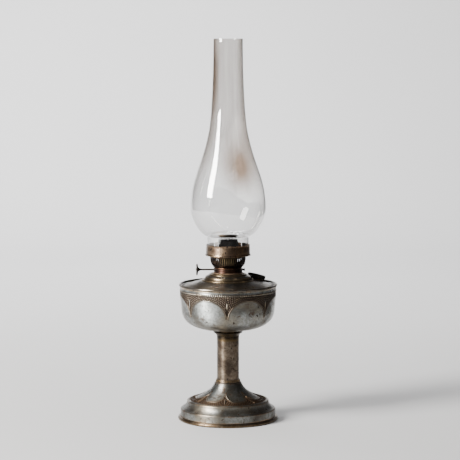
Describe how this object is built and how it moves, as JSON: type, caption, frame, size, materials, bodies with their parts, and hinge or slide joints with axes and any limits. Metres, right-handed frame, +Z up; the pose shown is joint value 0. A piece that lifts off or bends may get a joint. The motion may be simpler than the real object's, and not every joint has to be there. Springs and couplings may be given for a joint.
{
  "type": "oil lamp",
  "caption": "Table oil lamp with an embossed metal foot and font, a slotted round-wick burner with a side winder, a screw filler cap and a tall bulged glass chimney.",
  "frame": {"origin": "middle of the foot, on the table", "axes": "+Z up the lamp's axis; the winder's knob points along -X; the picture looks along +Y"},
  "size_m": [0.1272, 0.1272, 0.4806],
  "materials": {
    "nickelled_steel": "worn, patinated plating",
    "worn_brass": "worn, mottled",
    "browned_copper": "reddish brown, tarnished",
    "sooted_brass": "blackened",
    "plain_steel": "dull",
    "clear_glass": "clear, lightly smoked",
    "wick_cotton": "woven, charred at the top",
    "washer_leather": "dull",
    "ballast_plaster": "matt, cast"
  },
  "bodies": {
    "lamp": {"foot_shell": "nickelled_steel", "foot_ring": "worn_brass", "foot_cover": "nickelled_steel", "foot_ballast": "ballast_plaster", "tie_rod": "plain_steel", "tie_washer": "plain_steel", "tie_nut": "plain_steel", "stem_tube": "worn_brass", "stem_ring": "worn_brass", "stem_cup": "worn_brass", "font_boss": "worn_brass", "font_bowl": "nickelled_steel", "font_rim": "nickelled_steel", "font_top": "nickelled_steel", "burner_collar": "worn_brass", "filler_neck": "worn_brass"},
    "burner_washer": {"burner_washer": "washer_leather"},
    "burner": {"burner_body": "browned_copper", "burner_basket": "browned_copper", "gallery": "worn_brass", "outer_wick_tube": "sooted_brass", "inner_air_tube": "sooted_brass", "air_duct": "sooted_brass", "spindle_bush_left": "browned_copper", "spindle_bush_right": "browned_copper"},
    "winder": {"winder_spindle": "plain_steel", "winder_knob": "sooted_brass", "spur_wheel_left": "worn_brass", "spur_wheel_right": "worn_brass"},
    "wick": {"wick": "wick_cotton"},
    "flame_spreader": {"flame_disc": "sooted_brass", "flame_disc_stem": "plain_steel"},
    "chimney": {"chimney": "clear_glass"},
    "filler_washer": {"filler_washer": "washer_leather"},
    "filler_cap": {"filler_cap": "sooted_brass"}
  },
  "joints": [
    {"name": "burner_rise", "type": "slide", "parent": "lamp", "child": "burner_washer", "axis": [0, 0, 1], "range_m": [0, 0.00121]},
    {"name": "burner_turn", "type": "hinge", "parent": "burner_washer", "child": "burner", "pos_m": [0, 0, 0.1835], "axis": [0, 0, 1], "range_deg": [0, 180]},
    {"name": "winder_turn", "type": "hinge", "parent": "burner", "child": "winder", "pos_m": [0, 0.0136, 0.1889], "axis": [-1, 0, 0], "range_deg": [-238, 47]},
    {"name": "wick_raise", "type": "slide", "parent": "burner", "child": "wick", "axis": [0, 0, 1], "range_m": [-0.01, 0.002]},
    {"name": "flame_disc_lift", "type": "slide", "parent": "burner", "child": "flame_spreader", "axis": [0, 0, 1], "range_m": [0, 0.03]},
    {"name": "chimney_lift", "type": "slide", "parent": "burner", "child": "chimney", "axis": [0, 0, 1], "range_m": [0, 0.06]},
    {"name": "cap_rise", "type": "slide", "parent": "lamp", "child": "filler_washer", "axis": [0.2329, 0.1571, 0.9597], "range_m": [0, 0.00301]},
    {"name": "cap_turn", "type": "hinge", "parent": "filler_washer", "child": "filler_cap", "pos_m": [0.03523, 0.02377, 0.17482], "axis": [0.2329, 0.1571, 0.9597], "range_deg": [0, 720]}
  ],
  "couplings": [
    {"joint": "burner_rise", "follows": "burner_turn", "m_per_rad": 0.00038197},
    {"joint": "wick_raise", "follows": "winder_turn", "m_per_rad": 0.0024},
    {"joint": "cap_rise", "follows": "cap_turn", "m_per_rad": 0.00023873}
  ]
}
